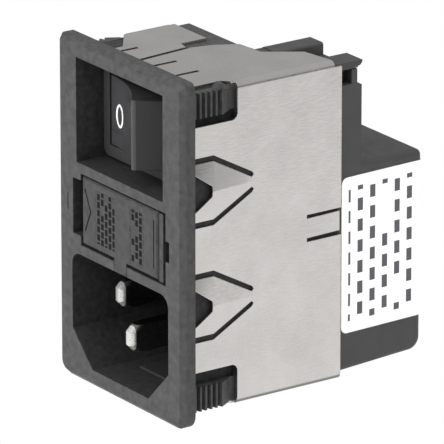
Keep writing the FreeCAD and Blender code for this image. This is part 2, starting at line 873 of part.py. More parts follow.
def add_tongues(body, side):
    """Two creased spring tongues that press on the panel's cut-out, each in its own opening."""
    wide = shield_outer_x + 0.3
    span = (shield_x - 0.3, wide) if side > 0 else (-wide, 0.3 - shield_x)
    half = s.tongue_half_width
    root = s.tongue_root_half_width
    slot = s.tongue_slot
    end = s.tongue_length
    for level in (-1, 1):
        middle = s.tongue_rise if level > 0 else -s.tongue_drop
        opening = [
            (as_size(-1.0), -half - slot),
            (s.tongue_straight, -half - slot),
            (end, -root - slot),
            (end + 0.3, -root - slot * 0.5),
            (end - 0.1, -root),
            (end - 0.1, root),
            (end + 0.3, root + slot * 0.5),
            (end, root + slot),
            (s.tongue_straight, half + slot),
            (as_size(-1.0), half + slot),
        ]
        cut(body, "YZ", span[0], span[1], shifted(opening, dv=middle))
        straight_crease = s.tongue_crease * (end - s.tongue_straight) / end
        sections = (
            (s.shield_front_gap + 0.1, shifted(chevron(side, shield_x, half, s.tongue_crease), dv=middle)),
            (s.tongue_straight, shifted(chevron(side, shield_x, half, straight_crease), dv=middle)),
            (end + 0.1, shifted(chevron(side, shield_x, root, as_size(0.01)), dv=middle)),
        )
        loft(body, sections)
        tip = s.tongue_notch_depth
        mouth = s.tongue_notch_half_width
        notch = [
            (as_size(-1.0), -mouth),
            (as_size(0.3), -mouth),
            (tip, as_size(-0.75)),
            (tip, as_size(0.75)),
            (as_size(0.3), mouth),
            (as_size(-1.0), mouth),
        ]
        reach = wide + s.tongue_crease + 0.5
        notch_span = (shield_x - 0.3, reach) if side > 0 else (-reach, 0.3 - shield_x)
        cut(body, "YZ", notch_span[0], notch_span[1], shifted(notch, dv=middle))


def add_rear_tab(body, side):
    """A tab between two slits in the rear edge, bent slightly inwards on the rear housing."""
    start = s.shield_depth - s.rear_tab_length
    half = s.rear_tab_half_width
    slit = s.rear_tab_slit
    wide = shield_outer_x + 0.3
    span = (shield_x - 0.3, wide) if side > 0 else (-wide, 0.3 - shield_x)
    cut(body, "YZ", span[0], span[1], rectangle(start, s.shield_depth + 1, -half - slit, half + slit))
    inner = shield_x
    bent = shield_x - s.rear_tab_bend
    width = s.shield_thickness
    near = sorted([inner * side, (inner + width) * side], key=lambda size: size.value)
    far = sorted([bent * side, (bent + width) * side], key=lambda size: size.value)
    loft(
        body,
        (
            (start - 0.2, rectangle(near[0], near[1], -half, half)),
            (s.shield_depth - 0.1, rectangle(far[0], far[1], -half, half)),
        ),
    )


def make_shield():
    body = new_body("shield")
    inner_radius = s.shield_fold_radius - s.shield_thickness
    outer = rectangle(
        -shield_outer_x, shield_outer_x, -shield_outer_z, shield_outer_z, s.shield_fold_radius
    )
    inner = rectangle(-shield_x, shield_x, -shield_z, shield_z, inner_radius)
    pad(body, "XZ", s.shield_front_gap, s.shield_depth, outer, inner)
    cut_top_of_shield(body)
    for side in (-1, 1):
        cut_latch_notches(body, side)
        add_tongues(body, side)
        add_rear_tab(body, side)
    return finish(body)


# Rear housing: the low block that holds the filter, and the tower beside the switch's tabs

def is_outer_edge(edge, start):
    """Leaves out the open front edge and the two seams of the foot's large round."""
    box = edge.BoundBox
    crosswise = box.XLength > 10 and box.ZMax < 0
    return box.YMax > start + 0.01 and not crosswise


def make_rear_housing():
    body = new_body("rear_housing")
    start = s.body_depth
    draft = s.rear_draft
    wall = s.rear_wall
    block = rectangle(-body_x, body_x, -body_z, rear_step)
    pad(body, "XZ", start, rear_end, block, draft=draft)
    # The large round along the foot meets the drafted underside and the rear face without a kink
    foot = s.rear_foot_radius
    foot_y = rear_end - foot
    foot_z = -body_z + (foot_y - start) * rear_slope + foot / cosine(draft)
    kink_y = foot_y + foot * sine(draft)
    underside = [
        (kink_y, foot_z - foot * cosine(draft), (foot, 1)),
        (rear_end, foot_z),
        (rear_end + 1.0, foot_z),
        (rear_end + 1.0, -body_z - 1.0),
        (kink_y, -body_z - 1.0),
    ]
    cut(body, "YZ", -body_x - 1.0, body_x + 1.0, underside)
    dress(body, "Fillet", s.rear_edge_radius, lambda edge: is_outer_edge(edge, start.value))
    tower_rear = start + s.tower_depth
    tower = rectangle(s.tower_left, body_x, as_size(0.0), tower_shoulder)
    pad(body, "XZ", start, tower_rear, tower, draft=draft)
    neck_rear = tower_rear - s.tower_neck_setback
    neck = rectangle(s.tower_left, body_x, tower_shoulder - 2, tower_neck)
    pad(body, "XZ", start, neck_rear, neck, draft=draft)
    bar = rectangle(
        s.tower_left,
        s.tower_bar_right,
        tower_shoulder - 2,
        body_z + s.tower_bar_rise,
        s.tower_bar_corner,
        0.01,
    )
    pad(body, "XZ", start + s.tower_bar_setback, start + s.tower_bar_depth, bar)
    foot = rectangle(s.tower_left, s.tower_bar_right, tower_shoulder - 2, body_z)
    pad(body, "XZ", start + 0.6, start + s.tower_bar_setback + 0.1, foot)
    cap_right = body_x - rear_slope * s.tower_depth
    cap_end = tower_rear + 0.1
    cap_radius = tower_cap - tower_neck
    cap = [
        (start + 0.6, tower_neck - 0.2),
        (cap_end - cap_radius, tower_neck - 0.2),
        (cap_end - cap_radius, tower_neck, (cap_radius, 1)),
        (cap_end, tower_cap),
        (start + 0.6, tower_cap),
    ]
    pad(body, "YZ", s.tower_cap_left, cap_right, cap)
    # Hollows for the filter parts and the feed arms
    room = rectangle(-body_x + wall, body_x - wall, -body_z + wall, rear_step - wall)
    cut(body, "XZ", start - 0.01, rear_end - wall, room, draft=draft)
    room = rectangle(s.tower_left + wall, body_x - wall, rear_step - wall - 0.5, tower_cavity)
    cut(body, "XZ", start - 0.01, tower_rear - wall - s.tower_neck_setback, room, draft=draft)
    window_front = start + s.tower_window_setback
    window = rectangle(
        window_front,
        window_front + s.tower_window_length,
        tower_shoulder,
        tower_neck - 0.2,
    )
    cut(body, "YZ", body_x - wall - 1.0, body_x + 0.5, window)
    for level in (-1, 1):
        pole = switch_z + s.pole_pitch / 2 * level
        half = s.blade_inner_width / 2 + 0.1
        slot = rectangle(s.tower_left - 0.2, s.tower_left + wall + 0.2, pole - half, pole + half)
        cut(body, "XZ", start - 0.01, feed_arm_rear + 0.15, slot)
    half = s.earth_tab_width / 2 + 0.1
    way = rectangle(
        earth_tab_x - 0.1, earth_tab_x + s.blade_thickness + 0.1, earth_z - half, earth_z + half
    )
    cut(body, "XZ", rear_end - wall - 0.2, rear_end + 0.1, way)
    return finish(body)


def make_label():
    """A blank film label that lies on the drafted right side and folds round onto the rear face."""
    body = new_body("side_label")
    start = s.body_depth
    left = s.shield_depth + s.label_margin
    film = s.label_thickness
    along = cosine(s.rear_draft)
    across = sine(s.rear_draft)
    fold = s.rear_edge_radius
    fold_y = rear_end - fold
    fold_x = body_x - (fold + (fold_y - start) * across) / along
    left_x = body_x - (left - start) * rear_slope
    inner = fold + s.label_fold_gap
    outer = fold + film
    outline = [
        (left_x, left),
        (fold_x + fold * along, fold_y + fold * across),
        (fold_x + inner * along, fold_y + inner * across, (inner, 1)),
        (fold_x, fold_y + inner),
        (fold_x, rear_end),
        (fold_x - s.label_fold, rear_end),
        (fold_x - s.label_fold, rear_end + film),
        (fold_x, rear_end + film, (outer, -1)),
        (fold_x + outer * along, fold_y + outer * across),
        (left_x + film * along, left + film * across),
    ]
    pad(body, "XY", -s.label_bottom, s.label_top, outline)
    limit = left.value + 0.1
    dress(
        body,
        "Fillet",
        s.label_corner,
        lambda edge: edge.BoundBox.YMax < limit and edge.BoundBox.ZLength < 0.01,
    )
    return finish(body)


# Rocker switch: framed housing, rocker, sprung plungers, contact levers and terminals

def make_switch_housing():
    body = new_body("switch_housing")
    frame_x = s.frame_width / 2
    frame_z = s.frame_height / 2
    frame = rectangle(-frame_x, frame_x, switch_z - frame_z, switch_z + frame_z, s.frame_corner)
    pad(body, "XZ", frame_front, switch_seat, frame)
    x = s.switch_width / 2
    z = s.switch_height / 2
    pad(body, "XZ", switch_seat - 0.1, switch_rear, rectangle(-x, x, switch_z - z, switch_z + z))
    open_x = s.frame_opening_width / 2
    open_z = s.frame_opening_height / 2
    opening = rectangle(-open_x, open_x, switch_z - open_z, switch_z + open_z)
    cut(body, "XZ", frame_front, switch_seat + 1.0, opening)
    room_x = x - s.switch_wall
    room = rectangle(-room_x, room_x, switch_z - open_z, switch_z + open_z)
    cut(body, "XZ", switch_seat + 0.9, switch_rear - 1.0, room)
    bore = s.pivot_radius + s.pivot_clearance
    cut(body, "XY", switch_z - z - 0.1, switch_z + z + 0.1, ("circle", as_size(0), pivot_y, bore))
    half_x = s.blade_thickness / 2 + 0.05
    half_z = s.blade_inner_width / 2 + 0.05
    for level in (-1, 1):
        pole = switch_z + s.pole_pitch / 2 * level
        for middle in (as_size(0), -s.contact_offset):
            slot = rectangle(middle - half_x, middle + half_x, pole - half_z, pole + half_z)
            cut(body, "XZ", switch_rear - 1.1, switch_rear + 0.1, slot)
    return finish(body)


def make_rocker():
    """The rocker about its own pivot: dished top between two ridges, flared ends and a hollow back."""
    body = new_body("rocker")
    ridge_x = s.rocker_ridge_half
    ridge_y = -s.rocker_ridge_rise
    dish = (ridge_x * ridge_x + s.rocker_dish * s.rocker_dish) / (s.rocker_dish * 2)
    half = s.rocker_height / 2
    profile = [
        (-ridge_x, ridge_y, (dish, -1)),
        (ridge_x, ridge_y),
        (s.rocker_half_width, as_size(0)),
        (-s.rocker_half_width, as_size(0)),
    ]
    pad(body, "XY", -half, half, profile)
    top = ridge_y.value
    dress(body, "Fillet", s.rocker_ridge_radius, lambda edge: lies_at(edge, "y", top) and edge.Length > 5)
    boss = s.rocker_boss_half
    side = half - 0.3
    pad(body, "XY", -side, side, rectangle(-boss, boss, as_size(-0.1), s.rocker_boss_drop))
    stub = s.switch_height / 2 - 0.1
    pad(body, "XY", -stub, stub, ("circle", as_size(0), as_size(0), s.pivot_radius))
    hollow = half - s.rocker_side_wall
    for way in (-1, 1):
        room = [
            (boss * way, as_size(0.1)),
            ((s.rocker_half_width - 1.15) * way, as_size(0.1)),
            ((s.rocker_half_width - 1.9) * way, as_size(-2.5)),
            (boss * way, as_size(-2.5)),
        ]
        cut(body, "XY", -hollow, hollow, room)
    bore = s.plunger_radius + s.plunger_clearance
    for level in (-1, 1):
        hole = ("circle", as_size(0), s.pole_pitch / 2 * level, bore)
        cut(body, "XZ", -s.plunger_length + 0.8, s.rocker_boss_drop + 0.1, hole)
    place(body, y=pivot_y, z=switch_z, turn=-s.rocker_tilt)
    return finish(body)


def make_plunger(label, level):
    """A round-nosed plunger that stands out of the rocker's bore."""
    body = new_body(label)
    head = s.plunger_reach - s.plunger_length
    nose = s.plunger_reach - s.plunger_radius
    profile = [
        (as_size(0), head),
        (s.plunger_radius, head),
        (s.plunger_radius, nose, (s.plunger_radius, 1)),
        (as_size(0), s.plunger_reach),
    ]
    revolve(body, [profile])
    pole = s.pole_pitch / 2 * level
    place(body, y=pivot_y, z=switch_z + pole, turn=-s.rocker_tilt)
    return finish(body)


def make_spring(label, level):
    """The coil spring between the bore's end and the plunger's head; its wire has eight flats."""
    top = -s.plunger_length + 0.8 + s.spring_wire / 2 + 0.05
    bottom = s.plunger_reach - s.plunger_length - s.spring_wire / 2 - 0.05
    radius = s.plunger_radius - s.spring_wire / 2 - 0.02
    length = bottom.value - top.value
    helix = Part.makeHelix(s.spring_pitch.value, length, radius.value)
    corners = []
    for index in range(9):
        angle = math.tau * (index + 0.5) / 8
        reach = radius.value + s.spring_wire.value / 2 * math.cos(angle)
        height = s.spring_wire.value / 2 * math.sin(angle)
        corners.append(FreeCAD.Vector(reach, 0, height))
    coil = Part.Wire(helix).makePipeShell([Part.makePolygon(corners)], True, True)
    spring = doc.addObject("Part::Feature", label)
    spring.Label = label
    spring.Shape = coil
    lay = FreeCAD.Placement(
        FreeCAD.Vector(0, bottom.value, 0), FreeCAD.Rotation(FreeCAD.Vector(1, 0, 0), 90)
    )
    seat = FreeCAD.Placement(
        FreeCAD.Vector(0, pivot_y.value, (switch_z + s.pole_pitch / 2 * level).value),
        FreeCAD.Rotation(FreeCAD.Vector(0, 0, 1), -s.rocker_tilt.value),
    )
    spring.Placement = seat.multiply(lay)
    return finish(spring)


def make_lever(label, level):
    """A see-saw contact lever: flat strip, knife edge below its middle and a rivet on its left arm."""
    body = new_body(label)
    half = s.lever_width / 2
    under = -s.knife_drop
    top = under - s.lever_thickness
    knife = s.knife_radius
    profile = [
        (-s.lever_left, top),
        (s.lever_right, top),
        (s.lever_right, under),
        (knife, under),
        (knife, as_size(0), (knife, 1)),
        (as_size(0), knife, (knife, 1)),
        (-knife, as_size(0)),
        (-knife, under),
        (-s.lever_left, under),
    ]
    pad(body, "XY", -half, half, profile)
    rivet = ("circle", -s.contact_offset, as_size(0), s.contact_radius)
    pad(body, "XZ", under - 0.1, under + s.contact_height, rivet)
    place(body, y=lever_pivot_y, z=switch_z + s.pole_pitch / 2 * level, turn=s.lever_tilt)
    return finish(body)


def make_feed_terminal(label, level):
    """The centre terminal: the lever rocks on its front edge, and its arm turns right into the tower."""
    body = new_body(label)
    pole = switch_z + s.pole_pitch / 2 * level
    half_x = s.blade_thickness / 2
    half_z = s.blade_inner_width / 2
    outline = [
        (-half_x, lever_pivot_y + s.knife_radius + 0.05),
        (half_x, lever_pivot_y + s.knife_radius + 0.05),
        (half_x, feed_arm_rear - s.blade_thickness),
        (half_x + s.feed_arm_length, feed_arm_rear - s.blade_thickness),
        (half_x + s.feed_arm_length, feed_arm_rear),
        (-half_x, feed_arm_rear),
    ]
    pad(body, "XY", pole - half_z, pole + half_z, outline)
    return finish(body)


def make_load_tab(label, level):
    """The fixed contact that the lever's rivet meets, and its quick-connect tab behind the switch."""
    body = new_body(label)
    pole = switch_z + s.pole_pitch / 2 * level
    lift = s.contact_offset + s.contact_radius
    rivet_y = (
        lever_pivot_y
        + lift * sine(s.lever_tilt)
        + (s.contact_height - s.knife_drop) * cosine(s.lever_tilt)
        + s.contact_gap
    )
    plate_y = rivet_y + s.contact_height
    end = switch_rear + 1.4 + s.load_tab_length
    inner = s.blade_inner_width / 2
    outer = s.load_tab_width / 2
    shoulder = switch_rear + 0.2
    blade = [
        (plate_y, pole - inner),
        (shoulder, pole - inner),
        (shoulder, pole - outer),
        (end - 0.8, pole - outer),
        (end, pole - outer + 0.8),
        (end, pole + outer - 0.8),
        (end - 0.8, pole + outer),
        (shoulder, pole + outer),
        (shoulder, pole + inner),
        (plate_y, pole + inner),
    ]
    hole = ("circle", end - 3.2, pole, s.tab_hole_radius)
    left = -s.contact_offset - s.blade_thickness / 2
    pad(body, "YZ", left, left + s.blade_thickness, blade, hole)
    reach = s.contact_radius + 0.4
    plate = rectangle(-s.contact_offset - reach, -s.contact_offset + reach, pole - inner, pole + inner)
    pad(body, "XZ", plate_y, plate_y + s.lever_thickness, plate)
    rivet = ("circle", -s.contact_offset, pole, s.contact_radius)
    pad(body, "XZ", rivet_y, plate_y + 0.1, rivet)
    return finish(body)


# Fuse drawer with its latch strip, two fuses and their four contacts

def make_fuse_drawer():
    body = new_body("fuse_drawer")
    gap = s.drawer_gap
    face_gap = s.drawer_face_gap
    face_rear = front + s.drawer_face_thickness
    low = bay_bottom + face_gap
    high = bay_top - face_gap
    pad(body, "XZ", front, face_rear, rectangle(-s.bay_left + face_gap, s.drawer_face_right, low, high))
    dress(body, "Chamfer", s.drawer_face_bevel, lambda edge: lies_at(edge, "y", front.value))
    line = s.drawer_line_right
    half = s.drawer_line_height / 2
    groove = rectangle(line - s.drawer_line_width, line, bay_z - half, bay_z + half)
    cut(body, "XZ", front, front + 0.2, groove)
    tray_top = bay_z + s.tray_rise
    tray_low = bay_bottom + gap * 3
    tray = rectangle(-s.tray_half_width, s.tray_half_width, tray_low, tray_top)
    pad(body, "XZ", face_rear - 0.1, front + s.tray_depth, tray)
    # Latch strip at the right, joined to the tray at its rear, with a rib that runs in the keyway
    left = s.drawer_face_right + s.drawer_strip_gap
    right = left + s.drawer_strip_width
    strip_rear = front + s.drawer_strip_length
    pad(body, "XZ", front, strip_rear, rectangle(left, right, low, high))
    root = rectangle(s.tray_half_width - 0.2, left + 0.1, tray_low, tray_top)
    pad(body, "XZ", strip_rear - 2.0, strip_rear, root)
    rib_z = s.keyway_height / 2 - gap * 2
    middle = bay_z - s.keyway_drop
    rib = rectangle(right - 0.1, s.bay_right + s.keyway_width - gap * 2, middle - rib_z, middle + rib_z)
    pad(body, "XZ", strip_rear - 3.5, strip_rear, rib)
    half = s.drawer_tab_width / 2
    middle = s.drawer_tab_shift
    tab = rectangle(middle - half, middle + half, inlet_top + 0.02, low + s.drawer_face_bevel + 0.1)
    pad(body, "XZ", front, front + s.drawer_tab_thickness, tab)
    # One open channel for each fuse, with a slot below it for the front contact
    radius = s.fuse_cap_radius + s.fuse_channel_gap
    for side in (-1, 1):
        x = fuse_x * side
        channel = [
            (x - radius, fuse_z, (radius, 1)),
            (x, fuse_z - radius, (radius, 1)),
            (x + radius, fuse_z),
            (x + radius, tray_top + 0.1),
            (x - radius, tray_top + 0.1),
        ]
        cut(body, "XZ", fuse_front - gap, front + s.tray_depth + 0.1, channel)
        half = s.leaf_width / 2 + 0.3
        slot = rectangle(x - half, x + half, tray_low - 0.1, fuse_z)
        cut(body, "XZ", fuse_front + 0.5, front + s.tray_depth + 0.1, slot)
    return finish(body)


def tube(label, outer, inner, length, x, y, z):
    """A plain tube along Y."""
    body = new_body(label)
    rings = [("circle", as_size(0), as_size(0), outer)]
    if inner is not None:
        rings.append(("circle", as_size(0), as_size(0), inner))
    pad(body, "XZ", 0.0, length, *rings)
    place(body, x=x, y=y, z=z)
    return finish(body)


def make_fuse(side_name, side):
    """A cartridge fuse: glass tube, two end caps and the wire between them."""
    x = fuse_x * side
    wall = s.fuse_cap_wall
    bore = s.fuse_glass_radius + s.fuse_cap_fit
    glass_length = s.fuse_length - wall * 2 - 0.1
    glass = s.fuse_glass_radius
    tube(
        "fuse_glass_" + side_name,
        glass,
        glass - s.fuse_glass_wall,
        glass_length,
        x,
        fuse_front + wall + 0.05,
        fuse_z,
    )
    ends = (("front", fuse_front, wall), ("rear", fuse_rear - s.fuse_cap_length, as_size(0)))
    for end_name, start, inner_start in ends:
        body = new_body("fuse_cap_%s_%s" % (end_name, side_name))
        pad(body, "XZ", 0.0, s.fuse_cap_length, ("circle", as_size(0), as_size(0), s.fuse_cap_radius))
        hollow = ("circle", as_size(0), as_size(0), bore)
        cut(body, "XZ", inner_start, inner_start + s.fuse_cap_length - wall, hollow)
        place(body, x=x, y=start, z=fuse_z)
        finish(body)
    tube(
        "fuse_wire_" + side_name,
        s.fuse_wire_radius,
        None,
        s.fuse_length - wall * 2,
        x,
        fuse_front + wall,
        fuse_z,
    )


def make_front_contact(label, side):
    """A strip in the bay's floor, bowed up under the front cap and bent down behind to its pin."""
    body = new_body(label)
    low = bay_bottom - s.leaf_thickness
    top = fuse_z - s.fuse_cap_radius - s.leaf_gap
    start = fuse_front + 0.9
    rear = sleeve_rear + 1.0
    thick = s.leaf_thickness
    foot = pin_z
    outline = [
        (start, low),
        (rear, low),
        (rear, foot),
        (rear + thick, foot),
        (rear + thick, low + thick),
        (start + 4.6, low + thick),
        (start + 3.3, top),
        (start + 1.5, top),
        (start, low + thick),
    ]
    left = fuse_x * side - s.leaf_width / 2
    pad(body, "YZ", left, left + s.leaf_width, outline)
    join = s.pin_spacing / 2 * side
    edges = sorted([fuse_x * side, join - s.tail_thickness / 2 * side], key=lambda size: size.value)
    wing = rectangle(edges[0], edges[1], foot, foot + s.pin_height / 2)
    pad(body, "XZ", rear, rear + thick, wing)
    link = sorted(
        [join - s.tail_thickness / 2 * side, join - (s.tail_thickness / 2 + thick) * side],
        key=lambda size: size.value,
    )
    strap = rectangle(link[0], link[1], foot, foot + s.pin_height / 2)
    pad(body, "XZ", insert_rear + 0.4, rear + thick, strap)
    return finish(body)


def make_rear_contact(label, side):
    """A plate on the bay's end wall with a nose for the rear cap, and a tail through the wall."""
    body = new_body(label)
    x = fuse_x * side
    wall_face = sleeve_rear - s.sleeve_wall
    half = s.leaf_width / 2
    plate = rectangle(x - half - 0.6, x + half + 0.6, fuse_z - 2.2, fuse_z + 2.2)
    pad(body, "XZ", wall_face - s.leaf_thickness, wall_face, plate)
    nose = ("circle", x, fuse_z, half)
    pad(body, "XZ", fuse_rear + s.leaf_gap, wall_face - s.leaf_thickness + 0.1, nose)
    tail = rectangle(x - half, x + half, fuse_z - 0.2, fuse_z + 0.2)
    pad(body, "XZ", wall_face - 0.1, sleeve_rear + 2.0, tail)
    return finish(body)


# Filter parts

def choke_middle():
    rear = rear_end - s.rear_wall - s.choke_setback
    return rear - s.choke_core_thickness / 2 - s.choke_winding


def make_choke_core():
    half = s.choke_core_thickness / 2
    y = choke_middle() - half
    return tube(
        "choke_core", s.choke_core_radius, s.choke_core_bore, s.choke_core_thickness, 0.0, y, choke_z
    )


def make_choke_winding(label, side):
    """One winding: a thick jacket over its share of the ring."""
    body = new_body(label)
    fit = s.choke_fit
    inner = s.choke_core_bore - s.choke_winding
    outer = s.choke_core_radius + s.choke_winding
    half = s.choke_core_thickness / 2
    jacket = rectangle(inner, outer, -half - s.choke_winding, half + s.choke_winding)
    ring = rectangle(s.choke_core_bore - fit, s.choke_core_radius + fit, -half - fit, half + fit)
    revolve(body, [jacket, ring], s.choke_winding_angle)
    place(body, y=choke_middle(), z=choke_z)
    if side < 0:
        place(body, y=choke_middle(), z=choke_z, turn=180.0)
    return finish(body)


def floor_level(y):
    """The rear housing's drafted floor at a depth."""
    return -body_z + s.rear_wall + (y - s.body_depth) * rear_slope


def make_x_capacitor():
    body = new_body("x_capacitor")
    start = insert_rear + 1.0
    end = start + s.x_capacitor_length
    low = floor_level(end) + s.part_seat_gap
    right = as_size(-0.9)
    box = rectangle(right - s.x_capacitor_width, right, low, low + s.x_capacitor_height, 0.5)
    pad(body, "XZ", start, end, box)
    return finish(body)


def make_y_capacitor(label, index):
    body = new_body(label)
    start = pin_rear + 0.8 + s.y_capacitor_pitch * index
    low = floor_level(start + s.y_capacitor_thickness) + s.part_seat_gap
    disc = ("circle", as_size(6.8), low + s.y_capacitor_radius, s.y_capacitor_radius)
    pad(body, "XZ", start, start + s.y_capacitor_thickness, disc)
    return finish(body)


def make_resistor():
    """The bleed resistor, which lies along the right wall."""
    y = insert_rear + 8.0
    wall = body_x - s.rear_wall - (y + s.resistor_length - s.body_depth) * rear_slope
    x = wall - s.resistor_radius - s.part_seat_gap
    z = earth_z + s.resistor_rise
    return tube("bleed_resistor", s.resistor_radius, None, s.resistor_length, x, y, z)


make_front_housing()
make_inlet_insert()
make_pin("line_pin", s.pin_spacing / 2, pin_z, s.pin_setback)
make_pin("neutral_pin", -s.pin_spacing / 2, pin_z, s.pin_setback)
make_pin("earth_pin", as_size(0), earth_z, s.earth_setback)
make_earth_tab()
make_shield()
make_rear_housing()
make_label()
make_switch_housing()
make_rocker()
for level_name, level in (("upper", 1), ("lower", -1)):
    make_plunger("plunger_" + level_name, level)
    make_spring("plunger_spring_" + level_name, level)
    make_lever("contact_lever_" + level_name, level)
    make_feed_terminal("feed_terminal_" + level_name, level)
    make_load_tab("load_tab_" + level_name, level)
make_fuse_drawer()
for side_name, side in (("left", -1), ("right", 1)):
    make_fuse(side_name, side)
    make_front_contact("fuse_contact_front_" + side_name, side)
    make_rear_contact("fuse_contact_rear_" + side_name, side)
make_choke_core()
make_choke_winding("choke_winding_right", 1)
make_choke_winding("choke_winding_left", -1)
make_x_capacitor()
make_y_capacitor("y_capacitor_front", 0)
make_y_capacitor("y_capacitor_rear", 1)
make_resistor()
doc.recompute()

for thing in doc.Objects:
    if "Invalid" in thing.State or "Error" in thing.State:
        raise RuntimeError("%s failed to build" % thing.Label)
for piece in pieces:
    if piece.Shape.isNull() or not piece.Shape.isValid() or len(piece.Shape.Solids) != 1:
        raise RuntimeError("%s is not one valid solid" % piece.Label)

os.makedirs("parts", exist_ok=True)
for piece in pieces:
    piece.Shape.exportStep("parts/%s.step" % piece.Label)
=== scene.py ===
import bpy
import math
from mathutils import Matrix, Vector


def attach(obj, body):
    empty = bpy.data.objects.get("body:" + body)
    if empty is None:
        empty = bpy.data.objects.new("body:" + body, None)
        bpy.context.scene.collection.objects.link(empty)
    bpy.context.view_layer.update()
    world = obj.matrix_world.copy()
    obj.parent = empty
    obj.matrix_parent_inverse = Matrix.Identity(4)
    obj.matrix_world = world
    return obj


# Looks for the power entry module. Metres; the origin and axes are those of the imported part.

MM = 0.001
NOISE_LOW = 0.3
NOISE_HIGH = 0.7
NOISE_ROUGHNESS = 0.55
EVERY_DEPTH = 99
PLASTIC_SPECULAR = 0.5
HOLLOW_ROUGHNESS = 0.6
HOLLOW_SPECULAR = 0.2
MARK_SPECULAR = 0.1
METAL_VARY = 0.06
TIP_METALLIC = 0.6
# Lighter colour of the pin tips, a painted highlight
LIT_TIP_COLOUR = (0.62, 0.62, 0.60)
# Painted shade along the shield's lower folds
FOLD_SHADE_COLOUR = (0.2, 0.196, 0.19)
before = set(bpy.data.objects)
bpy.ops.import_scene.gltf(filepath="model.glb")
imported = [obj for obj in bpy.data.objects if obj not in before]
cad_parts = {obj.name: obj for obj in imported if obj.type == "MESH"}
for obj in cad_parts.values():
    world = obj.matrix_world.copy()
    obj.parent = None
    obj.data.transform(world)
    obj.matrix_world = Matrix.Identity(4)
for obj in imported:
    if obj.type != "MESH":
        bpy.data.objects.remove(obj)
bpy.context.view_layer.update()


# Materials: each one has its own grain and relief, and some carry painted shade or a painted
# highlight in boxes or along folds, all read from the object's own coordinates

